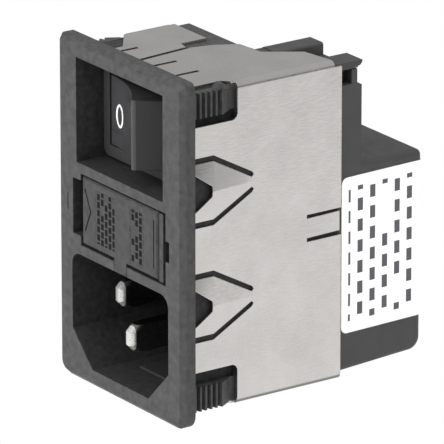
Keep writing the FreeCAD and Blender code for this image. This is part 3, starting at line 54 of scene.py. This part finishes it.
class Surface:
    """A material under construction, with short names for the nodes it needs."""

    def __init__(self, name):
        self.material = bpy.data.materials.new(name)
        self.material.use_nodes = True
        self.tree = self.material.node_tree
        self.tree.nodes.clear()
        self.output = self.add("ShaderNodeOutputMaterial")
        self.shader = self.add("ShaderNodeBsdfPrincipled")
        self.link(self.shader, "BSDF", self.output, "Surface")
        self.place = self.add("ShaderNodeTexCoord")

    def add(self, kind, **settings):
        node = self.tree.nodes.new(kind)
        for name, value in settings.items():
            setattr(node, name, value)
        return node

    def link(self, source, output, target, name):
        self.tree.links.new(source.outputs[output], target.inputs[name])

    def noise(self, scale, detail=3.0, stretch=(1, 1, 1)):
        """Cloudy noise; scale counts its features per millimetre."""
        mapping = self.add("ShaderNodeMapping")
        mapping.inputs["Scale"].default_value = stretch
        self.link(self.place, "Object", mapping, "Vector")
        noise = self.add("ShaderNodeTexNoise")
        noise.inputs["Scale"].default_value = scale / MM
        noise.inputs["Detail"].default_value = detail
        noise.inputs["Roughness"].default_value = NOISE_ROUGHNESS
        self.link(mapping, "Vector", noise, "Vector")
        return noise

    def spread(self, source, low, high):
        """Maps a noise onto a range of values."""
        spread = self.add("ShaderNodeMapRange")
        spread.inputs["From Min"].default_value = NOISE_LOW
        spread.inputs["From Max"].default_value = NOISE_HIGH
        spread.inputs["To Min"].default_value = low
        spread.inputs["To Max"].default_value = high
        self.link(source, "Fac", spread, "Value")
        return spread

    def blend(self, source, first, second):
        """Maps a noise onto the colours between two."""
        ramp = self.add("ShaderNodeValToRGB")
        ramp.color_ramp.elements[0].position = NOISE_LOW
        ramp.color_ramp.elements[1].position = NOISE_HIGH
        ramp.color_ramp.elements[0].color = (*first, 1)
        ramp.color_ramp.elements[1].color = (*second, 1)
        self.link(source, "Fac", ramp, "Fac")
        return ramp

    def relief(self, source, height, strength, normal=None):
        """Bumps of a height in millimetres."""
        bump = self.add("ShaderNodeBump")
        bump.inputs["Distance"].default_value = height * MM
        bump.inputs["Strength"].default_value = strength
        self.link(source, "Fac", bump, "Height")
        if normal is not None:
            self.link(normal, "Normal", bump, "Normal")
        return bump

    def split_place(self):
        """The three coordinates apart, made once."""
        if not hasattr(self, "axes"):
            self.axes = self.add("ShaderNodeSeparateXYZ")
            self.link(self.place, "Object", self.axes, "Vector")

    def graded(self, source, output, start, end):
        """0 at the first place and 1 at the second, in millimetres, graded between."""
        grade = self.add("ShaderNodeMapRange")
        grade.inputs["From Min"].default_value = start * MM
        grade.inputs["From Max"].default_value = end * MM
        self.link(source, output, grade, "Value")
        return grade

    def lower_folds(self, heights, sides):
        """1 along the two lower folds, fading out upwards and underneath, where painted shade
        darkens the sheet.
        """
        self.split_place()
        aside = self.add("ShaderNodeMath", operation="ABSOLUTE")
        self.link(self.axes, "X", aside, 0)
        both = self.add("ShaderNodeMath", operation="MULTIPLY")
        self.link(self.graded(self.axes, "Z", *heights), "Result", both, 0)
        self.link(self.graded(aside, "Value", *sides), "Result", both, 1)
        return both

    def zone(self, low, high):
        """1 inside a box given in millimetres, 0 outside."""
        self.split_place()
        inside = None
        for axis, start, end in zip("XYZ", low, high):
            test = self.add("ShaderNodeMath", operation="COMPARE")
            self.link(self.axes, axis, test, 0)
            test.inputs[1].default_value = (start + end) / 2 * MM
            test.inputs[2].default_value = (end - start) / 2 * MM
            inside = test if inside is None else self.combine("MULTIPLY", inside, test)
        return inside

    def bent_line(self, x, z, lean, half_height, width):
        """1 along an upright line that leans left from its corner at both ends, in millimetres; it
        marks the painted shade of a groove.
        """
        low = (x - half_height, -EVERY_DEPTH, z - half_height)
        high = (x + width, EVERY_DEPTH, z + half_height)
        region = self.zone(low, high)
        rise = self.add("ShaderNodeMath", operation="SUBTRACT")
        self.link(self.axes, "Z", rise, 0)
        rise.inputs[1].default_value = z * MM
        away = self.add("ShaderNodeMath", operation="ABSOLUTE")
        self.link(rise, "Value", away, 0)
        shift = self.add("ShaderNodeMath", operation="MULTIPLY_ADD")
        self.link(away, "Value", shift, 0)
        shift.inputs[1].default_value = lean
        self.link(self.axes, "X", shift, 2)
        near = self.add("ShaderNodeMath", operation="COMPARE")
        self.link(shift, "Value", near, 0)
        near.inputs[1].default_value = x * MM
        near.inputs[2].default_value = width / 2 * MM
        return self.combine("MULTIPLY", near, region)

    def combine(self, operation, first, second):
        both = self.add("ShaderNodeMath", operation=operation)
        self.link(first, "Value", both, 0)
        self.link(second, "Value", both, 1)
        return both

    def mix(self, mask, first, second, kind="RGBA", output="Color"):
        """The first look where the mask is 0 and the second where it is 1."""
        mix = self.add("ShaderNodeMix", data_type=kind)
        slots = {"RGBA": (6, 7), "FLOAT": (2, 3)}[kind]
        self.link(mask, 0, mix, 0)
        for slot, side in zip(slots, (first, second)):
            if isinstance(side, (int, float)):
                mix.inputs[slot].default_value = side
            elif isinstance(side, tuple):
                mix.inputs[slot].default_value = (*side, 1)
            else:
                self.link(side, output, mix, slot)
        return mix

    def soft_edge(self, radius):
        """Rounds the shading of sharp edges."""
        bevel = self.add("ShaderNodeBevel", samples=6)
        bevel.inputs["Radius"].default_value = radius * MM
        return bevel

    def set(self, **values):
        for name, value in values.items():
            self.shader.inputs[name.replace("_", " ")].default_value = value


def shades(colour, amount):
    dark = tuple(c * (1 - amount) for c in colour)
    light = tuple(min(c * (1 + amount), 1) for c in colour)
    return dark, light


def union(surface, boxes):
    """A mask that is 1 in any of the boxes."""
    mask = None
    for low, high in boxes:
        part = surface.zone(low, high)
        mask = part if mask is None else surface.combine("MAXIMUM", mask, part)
    return mask


class Marks:
    """Plain bars in rows, in place of print: they mean nothing and only break up the surface. A
    bent line, where given, is the painted shade of a groove in the same colour.
    """

    def __init__(self, across, colour, pitch, length, gap, boxes, share, bent=None):
        self.across = across
        self.colour = colour
        self.pitch = pitch
        self.length = length
        self.gap = gap
        self.boxes = boxes
        self.share = share
        self.bent = bent

    def mask(self, surface):
        place = surface.add("ShaderNodeCombineXYZ")
        region = union(surface, self.boxes)
        surface.link(surface.axes, "Z", place, "X")
        surface.link(surface.axes, self.across, place, "Y")
        bricks = surface.add("ShaderNodeTexBrick")
        surface.link(place, "Vector", bricks, "Vector")
        bricks.inputs["Color1"].default_value = (0, 0, 0, 1)
        bricks.inputs["Color2"].default_value = (1, 1, 1, 1)
        bricks.inputs["Mortar"].default_value = (0, 0, 0, 1)
        bricks.inputs["Scale"].default_value = 1 / MM
        bricks.inputs["Mortar Size"].default_value = self.gap / 2
        bricks.inputs["Mortar Smooth"].default_value = 0.1
        bricks.inputs["Brick Width"].default_value = self.length
        bricks.inputs["Row Height"].default_value = self.pitch
        chosen = surface.add("ShaderNodeMath", operation="GREATER_THAN")
        surface.link(bricks, "Color", chosen, 0)
        chosen.inputs[1].default_value = 1 - self.share
        bars = surface.combine("MULTIPLY", chosen, region)
        # The bent line paints the shade of a groove
        if self.bent:
            return surface.combine("MAXIMUM", bars, surface.bent_line(*self.bent))
        return bars


def plastic(
    name,
    colour,
    roughness=0.5,
    vary=0.08,
    grain=6.0,
    relief=0.012,
    edge=0.12,
    mottle=0.12,
    shaded_hollows=(),
    solids=(),
    marks=None,
):
    """A moulding; hollows are the boxes where painted shade makes it darker, and where it is
    smoother, except in the solids.
    """
    s = Surface(name)
    cloud = s.noise(mottle, 4.0)
    tone = s.blend(cloud, *shades(colour, vary))
    tone_output = "Color"
    sheen = s.spread(s.noise(0.5, 3.0), roughness - 0.06, roughness + 0.08)
    fine = s.noise(grain, 2.0)
    bump = s.relief(fine, relief, 0.6, s.soft_edge(edge))
    s.link(bump, "Normal", s.shader, "Normal")
    s.set(Specular_IOR_Level=PLASTIC_SPECULAR)
    gloss = None
    if shaded_hollows:
        mask = union(s, shaded_hollows)
        if solids:
            mask = s.combine("SUBTRACT", mask, union(s, solids))
            mask.use_clamp = True
        # Painted shade: inside the boxes the tone turns to the darker shade colour
        depth = s.blend(cloud, *shades(HOLLOW_SHADE, vary))
        tone = s.mix(mask, tone, depth)
        tone_output = 2
        sheen = s.mix(mask, sheen, HOLLOW_ROUGHNESS, "FLOAT", "Result")
        s.link(sheen, 0, s.shader, "Roughness")
        gloss = s.mix(mask, PLASTIC_SPECULAR, HOLLOW_SPECULAR, "FLOAT")
    else:
        s.link(sheen, "Result", s.shader, "Roughness")
    if marks:
        mask = marks.mask(s)
        tone = s.mix(mask, tone, marks.colour, output=tone_output)
        tone_output = 2
        gloss = s.mix(mask, gloss or PLASTIC_SPECULAR, MARK_SPECULAR, "FLOAT", 0)
    if gloss:
        s.link(gloss, 0, s.shader, "Specular IOR Level")
    s.link(tone, tone_output, s.shader, "Base Color")
    return s.material


def metal(
    name,
    colour,
    roughness=0.3,
    lines=(1, 1, 1),
    relief=0.006,
    edge=0.06,
    bright=(),
    fold_shade=None,
):
    """Rolled or plated metal; lines stretches its grain, bright lists the boxes of tips that get a
    lighter colour, a painted highlight.

    fold_shade gives the heights and the places aside between which painted shade darkens its lower
    folds.
    """
    s = Surface(name)
    cloud = s.noise(0.18, 4.0)
    tone = s.blend(cloud, *shades(colour, METAL_VARY))
    grain = s.noise(5.0, 3.0, stretch=lines)
    sheen = s.spread(grain, roughness - 0.07, roughness + 0.1)
    s.link(sheen, "Result", s.shader, "Roughness")
    bump = s.relief(grain, relief, 0.4, s.soft_edge(edge))
    s.link(bump, "Normal", s.shader, "Normal")
    s.set(Metallic=1.0)
    if bright:
        mask = union(s, bright)
        s.link(s.mix(mask, 1.0, TIP_METALLIC, "FLOAT"), 0, s.shader, "Metallic")
        s.link(s.mix(mask, tone, LIT_TIP_COLOUR), 2, s.shader, "Base Color")
    elif fold_shade:
        mask = s.lower_folds(*fold_shade)
        s.link(s.mix(mask, tone, FOLD_SHADE_COLOUR), 2, s.shader, "Base Color")
    else:
        s.link(tone, "Color", s.shader, "Base Color")
    return s.material


def clear(name, colour):
    """Drawn glass with faint streaks."""
    s = Surface(name)
    s.set(Base_Color=(*colour, 1), Transmission_Weight=1.0, IOR=1.5)
    streak = s.spread(s.noise(1.5, 2.0, stretch=(1, 0.1, 1)), 0.01, 0.08)
    s.link(streak, "Result", s.shader, "Roughness")
    bump = s.relief(s.noise(0.8, 2.0, stretch=(1, 0.1, 1)), 0.004, 0.5)
    s.link(bump, "Normal", s.shader, "Normal")
    return s.material


# Boxes in millimetres, as opposite corners, where a piece looks different: mostly painted shade, a
# painted highlight on the pin tips, and the places of print

# Pin tips that get a painted highlight
lit_pin_tips = [
    ((-9, 2, -22), (-5, 2.9, -4)),
    ((5, 2, -22), (9, 2.9, -4)),
    ((-3, -1, -22), (3, -0.1, -4)),
]
label_rows = [((13, 27.6, -15.6), (14, 39.2, 4.4))]
drawer_rows = [((-5.9, -2.3, -3.4), (-1.2, -2.0, 4.4)), ((2.6, -2.3, -3.6), (5.9, -2.0, 4.2))]
# A chevron on the drawer face, drawn as a dark line: the painted shade of its moulded groove
chevron_groove_shade = (-7.2, 0.75, 0.45, 3.15, 0.35)
CHARCOAL = (0.042, 0.042, 0.0433)
# Colour of the painted shade in recesses and on parts seen only in shade
HOLLOW_SHADE = (0.03, 0.03, 0.03)
# Painted shade on the front housing: inside the pocket and the inlet, on the body under the shield
# where it shows through the slits, and a small strip on the flange front darkened the same way;
# the latch arms are left out
housing_shaded_hollows = [
    ((-12.45, -2.1, -22.95), (12.45, 22, 22.95)),
    ((-13.7, 0.02, -23.4), (13.7, 11.3, 23.4)),
    ((-13.2, -2.25, -0.3), (-12.75, -2.1, 2.2)),
]
latch_arms = [
    ((left, 0.3, low), (left + 2.1, 8.3, low + 3.9))
    for left in (-14.65, 12.55)
    for low in (-23.5, 19.6)
]
# Painted shade in three recessed boxes of the rear housing
rear_shaded_hollows = [
    ((12.9, 18, -3), (14, 25.95, 3)),
    ((-14, 18, -3), (-12.9, 25.95, 3)),
    ((3.1, 18, 6.4), (12.45, 28, 20.8)),
]
front_charcoal = plastic(
    "moulded charcoal, front",
    CHARCOAL,
    0.52,
    vary=0.32,
    mottle=1.1,
    relief=0.02,
    shaded_hollows=housing_shaded_hollows,
    solids=latch_arms,
)
rear_charcoal = plastic("moulded charcoal, rear", CHARCOAL, 0.52, shaded_hollows=rear_shaded_hollows)
drawer_charcoal = plastic(
    "moulded charcoal, drawer",
    (0.033, 0.033, 0.034),
    0.5,
    vary=0.32,
    mottle=1.1,
    relief=0.02,
    # Painted shade in the drawer's recess behind its face
    shaded_hollows=[((-13, -1.75, -8), (13, -0.4, 8))],
    marks=Marks("X", (0.004, 0.004, 0.004), 0.95, 1.2, 0.28, drawer_rows, 0.85, chevron_groove_shade),
)
# Black moulding whose own black is darkened further to stand for the shade of the recesses it sits
# in: painted shade
recess_shaded_black = plastic("moulded black, painted recess shade", (0.03, 0.03, 0.031), 0.5)
rocker_black = plastic(
    "rocker satin",
    (0.038, 0.038, 0.040),
    0.34,
    grain=4.0,
    relief=0.006,
    edge=0.3,
    # Painted shade on the rocker's raised end, which sits in the shade of the pocket
    shaded_hollows=[((3.4, -1.9, 9), (9.5, 10, 21))],
)
sheet_metal = metal(
    "tin plated sheet",
    (0.63, 0.612, 0.595),
    0.27,
    lines=(1, 0.12, 1),
    edge=0.1,
    # Painted shade along the two lower folds of the shield
    fold_shade=((-22.85, -23.15), (13.0, 13.35)),
)
nickel = metal("nickel plating", (0.78, 0.77, 0.74), 0.28, lines=(1, 0.2, 1))
# Pin nickel: its colour is painted dark, a painted reflection of the dark inlet, and the tips
# lighter, a painted highlight
pin_nickel = metal(
    "nickel, painted dark sides and lit tips",
    (0.24, 0.24, 0.235),
    0.3,
    lines=(1, 0.2, 1),
    relief=0.002,
    bright=lit_pin_tips,
)
tin = metal("tinned brass", (0.78, 0.75, 0.68), 0.32, lines=(1, 0.15, 1))
copper = metal("contact copper", (0.80, 0.50, 0.33), 0.3, lines=(0.2, 1, 1))
steel_wire = metal("spring wire", (0.62, 0.62, 0.63), 0.28)
winding = metal("enamelled winding", (0.62, 0.25, 0.10), 0.3)
ferrite = plastic("ferrite coat", (0.05, 0.09, 0.07), 0.5)
nylon = plastic("natural nylon", (0.78, 0.75, 0.68), 0.45)
case_yellow = plastic("capacitor case", (0.75, 0.52, 0.06), 0.35)
disc_blue = plastic("capacitor disc", (0.06, 0.16, 0.45), 0.3)
resistor_coat = plastic("resistor coat", (0.45, 0.35, 0.24), 0.35)
paper = plastic(
    "label film",
    (0.95, 0.95, 0.945),
    0.4,
    vary=0.012,
    grain=3.0,
    relief=0.002,
    edge=0.03,
    marks=Marks("Y", (0.10, 0.10, 0.11), 2.2, 3.1, 1.35, label_rows, 0.93),
)
fuse_tube = clear("fuse tube", (0.93, 0.97, 0.96))
print_white = plastic("white print", (0.86, 0.86, 0.84), 0.5, vary=0.05)

dress = {
    "front_housing": front_charcoal,
    "rear_housing": rear_charcoal,
    "fuse_drawer": drawer_charcoal,
    "inlet_insert": recess_shaded_black,
    "switch_housing": recess_shaded_black,
    "rocker": rocker_black,
    "shield": sheet_metal,
    "side_label": paper,
    "line_pin": pin_nickel,
    "neutral_pin": pin_nickel,
    "earth_pin": pin_nickel,
    "earth_tab": tin,
    "choke_core": ferrite,
    "choke_winding_left": winding,
    "choke_winding_right": winding,
    "x_capacitor": case_yellow,
    "y_capacitor_front": disc_blue,
    "y_capacitor_rear": disc_blue,
    "bleed_resistor": resistor_coat,
}
for level in ("upper", "lower"):
    dress["plunger_" + level] = nylon
    dress["plunger_spring_" + level] = steel_wire
    dress["contact_lever_" + level] = copper
    dress["feed_terminal_" + level] = tin
    dress["load_tab_" + level] = tin
for side in ("left", "right"):
    dress["fuse_glass_" + side] = fuse_tube
    dress["fuse_cap_front_" + side] = nickel
    dress["fuse_cap_rear_" + side] = nickel
    dress["fuse_wire_" + side] = steel_wire
    dress["fuse_contact_front_" + side] = copper
    dress["fuse_contact_rear_" + side] = copper
for name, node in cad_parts.items():
    node.data.materials.clear()
    node.data.materials.append(dress[name])


# Marks on the rocker: an oval for off, a bar for on, and under the oval a dark band, the painted
# shade of a short moulded line

FRONT = -2.2
PIVOT = Vector((0, FRONT + 8.6, 15.05))
RIDGE_HALF = 6.2
RIDGE_RISE = 7.15
DISH = 1.2
TILT = math.radians(-20.5)
DISH_RADIUS = (RIDGE_HALF**2 + DISH**2) / (DISH * 2)
BAND_LIFT = 0.03
BAND_SINK = -0.05
MARK_HEIGHT = -0.35
OVAL_POINTS = 48
BAR_POINTS = 24


def on_dish(across, height, lift):
    """A point over the rocker's dished face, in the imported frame's metres."""
    depth = -RIDGE_RISE + DISH - DISH_RADIUS + math.sqrt(DISH_RADIUS**2 - across**2) - lift
    return (PIVOT + Matrix.Rotation(TILT, 3, "Z") @ Vector((across, depth, height))) * MM


def lay_band(name, inner, outer, material):
    """A thin raised band on the dish between two closed outlines of the same number of points."""
    count = len(inner)
    points = []
    for lift in (BAND_LIFT, BAND_SINK):
        points += [on_dish(x, z, lift) for x, z in outer] + [on_dish(x, z, lift) for x, z in inner]
    faces = []
    for i in range(count):
        j = (i + 1) % count
        faces.append((i, j, count + j, count + i))
        faces.append((2 * count + i, 3 * count + i, 3 * count + j, 2 * count + j))
        faces.append((i, 2 * count + i, 2 * count + j, j))
        faces.append((count + i, count + j, 3 * count + j, 3 * count + i))
    mesh = bpy.data.meshes.new(name)
    mesh.from_pydata(points, [], faces)
    mesh.materials.append(material)
    band = bpy.data.objects.new(name, mesh)
    bpy.context.scene.collection.objects.link(band)
    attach(band, "rocker")


def oval(x, z, half_x, half_z):
    turns = [math.tau * i / OVAL_POINTS for i in range(OVAL_POINTS)]
    return [(x + half_x * math.cos(a), z + half_z * math.sin(a)) for a in turns]


def stadium(x, z, half_x, half_z):
    """An upright bar with round ends."""
    straight = half_z - half_x
    turns = [math.tau * (i + 0.5) / BAR_POINTS for i in range(BAR_POINTS)]
    return [
        (x + half_x * math.cos(a), z + half_x * math.sin(a) + math.copysign(straight, math.sin(a)))
        for a in turns
    ]


lay_band(
    "off_mark",
    oval(-3.5, MARK_HEIGHT, 0.72, 1.38),
    oval(-3.5, MARK_HEIGHT, 1.08, 1.74),
    print_white,
)
# A dark band standing for the shade in a short moulded line: painted shade
shadow_line = [(-5.68, -3.05), (-2.65, -2.86), (-2.65, -2.56), (-5.68, -2.75)]
inside_line = [(x * 0.98 - 0.08, z * 0.98 - 0.06) for x, z in shadow_line]
lay_band("moulded_line_shade", inside_line, shadow_line, recess_shaded_black)
lay_band(
    "on_mark",
    stadium(3.5, MARK_HEIGHT, 0.02, 1.5),
    stadium(3.5, MARK_HEIGHT, 0.19, 1.74),
    print_white,
)


# Camera: at the photograph's angle, far off, as a long lens sees it

AZIMUTH = math.radians(55.12)
ELEVATION = math.radians(19.12)
DISTANCE = 0.9735
FOCAL = 6898.8
WIDTH = 444
CENTRE_X = 220.42
CENTRE_Y = 208.47
SENSOR = 36
back = Vector(
    (
        math.sin(AZIMUTH) * math.cos(ELEVATION),
        -math.cos(AZIMUTH) * math.cos(ELEVATION),
        math.sin(ELEVATION),
    )
)
right = Vector((math.cos(AZIMUTH), math.sin(AZIMUTH), 0))
up = back.cross(right)
aim = Vector((0, 0.015, 0))
aim += right * ((WIDTH / 2 - CENTRE_X) * DISTANCE / FOCAL)
aim -= up * ((WIDTH / 2 - CENTRE_Y) * DISTANCE / FOCAL)
camera_data = bpy.data.cameras.new("camera")
camera_data.sensor_width = SENSOR
camera_data.lens = FOCAL / WIDTH * SENSOR
camera_data.clip_start = 0.05
camera_data.clip_end = 10
camera = bpy.data.objects.new("camera", camera_data)
bpy.context.scene.collection.objects.link(camera)
camera.matrix_world = Matrix.Translation(aim + back * DISTANCE) @ Matrix(
    (
        (right.x, up.x, back.x, 0),
        (right.y, up.y, back.y, 0),
        (right.z, up.z, back.z, 0),
        (0, 0, 0, 1),
    )
)
bpy.context.scene.camera = camera


# Light: one soft panel in front and one above, and a world that is white to the camera, a grey
# room in reflections and a sky that is brighter on one side for everything else

LAMP_DISTANCE = 0.6
FLOOR_HEIGHT = -25.5 * MM
FLOOR_SIZE = 6


def softbox(name, direction, size, power):
    """A square lamp that lights the part without being seen or mirrored."""
    data = bpy.data.lights.new(name, "AREA")
    data.shape = "SQUARE"
    data.size = size
    data.energy = power
    lamp = bpy.data.objects.new(name, data)
    bpy.context.scene.collection.objects.link(lamp)
    aside = Vector(direction).normalized()
    lamp.location = aside * LAMP_DISTANCE
    lamp.rotation_euler = aside.to_track_quat("Z", "Y").to_euler()
    lamp.visible_camera = False
    lamp.visible_glossy = False


FRONT_LIGHT = (-0.25, -1.0, 0.3)
softbox("front panel", FRONT_LIGHT, 0.7, 6.1)
softbox("top panel", (0.3, -0.1, 1.0), 0.9, 4.1)

world = bpy.data.worlds.new("surround")
bpy.context.scene.world = world
world.use_nodes = True
tree = world.node_tree
tree.nodes.clear()
world_output = tree.nodes.new("ShaderNodeOutputWorld")
sky = tree.nodes.new("ShaderNodeBackground")
white = tree.nodes.new("ShaderNodeBackground")
room = tree.nodes.new("ShaderNodeBackground")
mirrored = tree.nodes.new("ShaderNodeMixShader")
choose = tree.nodes.new("ShaderNodeMixShader")
path = tree.nodes.new("ShaderNodeLightPath")
coordinates = tree.nodes.new("ShaderNodeTexCoord")
toward = tree.nodes.new("ShaderNodeVectorMath")
toward.operation = "DOT_PRODUCT"
toward.inputs[1].default_value = (0.78, 0.45, -0.43)
level = tree.nodes.new("ShaderNodeMapRange")
level.inputs["From Min"].default_value = -0.4
level.inputs["From Max"].default_value = 0.9
level.inputs["To Min"].default_value = 0.45
level.inputs["To Max"].default_value = 1.5
tree.links.new(coordinates.outputs["Generated"], toward.inputs[0])
tree.links.new(toward.outputs["Value"], level.inputs["Value"])
tree.links.new(level.outputs["Result"], sky.inputs["Strength"])
white.inputs["Strength"].default_value = 1.0
white.inputs["Color"].default_value = (1, 1, 1, 1)
tree.links.new(path.outputs["Is Camera Ray"], choose.inputs["Fac"])
height = tree.nodes.new("ShaderNodeSeparateXYZ")
room_level = tree.nodes.new("ShaderNodeMapRange")
room_level.inputs["From Min"].default_value = 0.05
room_level.inputs["From Max"].default_value = 0.35
room_level.inputs["To Min"].default_value = 0.2
room_level.inputs["To Max"].default_value = 0.7
tree.links.new(coordinates.outputs["Generated"], height.inputs["Vector"])
tree.links.new(height.outputs["Z"], room_level.inputs["Value"])
panel = tree.nodes.new("ShaderNodeVectorMath")
panel.operation = "DOT_PRODUCT"
panel.inputs[1].default_value = Vector(FRONT_LIGHT).normalized()
panel_level = tree.nodes.new("ShaderNodeMapRange")
panel_level.inputs["From Min"].default_value = 0.8
panel_level.inputs["From Max"].default_value = 0.95
panel_level.inputs["To Min"].default_value = 0.0
panel_level.inputs["To Max"].default_value = 0.9
both = tree.nodes.new("ShaderNodeMath")
tree.links.new(coordinates.outputs["Generated"], panel.inputs[0])
tree.links.new(panel.outputs["Value"], panel_level.inputs["Value"])
tree.links.new(room_level.outputs["Result"], both.inputs[0])
tree.links.new(panel_level.outputs["Result"], both.inputs[1])
tree.links.new(both.outputs["Value"], room.inputs["Strength"])
tree.links.new(path.outputs["Is Glossy Ray"], mirrored.inputs["Fac"])
tree.links.new(sky.outputs["Background"], mirrored.inputs[1])
tree.links.new(room.outputs["Background"], mirrored.inputs[2])
tree.links.new(mirrored.outputs["Shader"], choose.inputs[1])
tree.links.new(white.outputs["Background"], choose.inputs[2])
tree.links.new(choose.outputs["Shader"], world_output.inputs["Surface"])

# Floor: white to the camera, fading outwards in reflections, and clear from below

bpy.ops.mesh.primitive_plane_add(size=FLOOR_SIZE, location=(0, 0, FLOOR_HEIGHT))
floor = bpy.context.object
floor.name = "floor"
floor_surface = Surface("pale floor")
floor_surface.set(Roughness=0.8)
floor_cloud = floor_surface.noise(0.02, 3.0)
floor_tone = floor_surface.blend(floor_cloud, (0.78, 0.78, 0.78), (0.82, 0.82, 0.82))
floor_surface.link(floor_tone, "Color", floor_surface.shader, "Base Color")
glow = floor_surface.add("ShaderNodeEmission")
glow.inputs["Color"].default_value = (1, 1, 1, 1)
rays = floor_surface.add("ShaderNodeLightPath")
seen = floor_surface.add("ShaderNodeMath", operation="MAXIMUM")
floor_surface.link(rays, "Is Camera Ray", seen, 0)
floor_surface.link(rays, "Is Glossy Ray", seen, 1)
place = floor_surface.add("ShaderNodeNewGeometry")
away = floor_surface.add("ShaderNodeVectorMath", operation="LENGTH")
floor_surface.link(place, "Position", away, 0)
fade = floor_surface.add("ShaderNodeMapRange")
fade.inputs["From Min"].default_value = 0.18
fade.inputs["From Max"].default_value = 0.4
fade.inputs["To Min"].default_value = 1.0
fade.inputs["To Max"].default_value = 0.25
floor_surface.link(away, "Value", fade, "Value")
strength = floor_surface.add("ShaderNodeMath", operation="MAXIMUM")
floor_surface.link(rays, "Is Camera Ray", strength, 0)
floor_surface.link(fade, "Result", strength, 1)
floor_surface.link(strength, "Value", glow, "Strength")
floor_mix = floor_surface.add("ShaderNodeMixShader")
floor_surface.link(seen, "Value", floor_mix, "Fac")
floor_surface.tree.links.new(floor_surface.shader.outputs["BSDF"], floor_mix.inputs[1])
floor_surface.tree.links.new(glow.outputs["Emission"], floor_mix.inputs[2])
underneath = floor_surface.add("ShaderNodeMixShader")
floor_surface.link(place, "Backfacing", underneath, "Fac")
floor_surface.tree.links.new(floor_mix.outputs["Shader"], underneath.inputs[1])
nothing = floor_surface.add("ShaderNodeBsdfTransparent")
floor_surface.tree.links.new(nothing.outputs["BSDF"], underneath.inputs[2])
floor_surface.link(underneath, "Shader", floor_surface.output, "Surface")
floor.data.materials.append(floor_surface.material)

bpy.context.scene.view_settings.view_transform = "Standard"
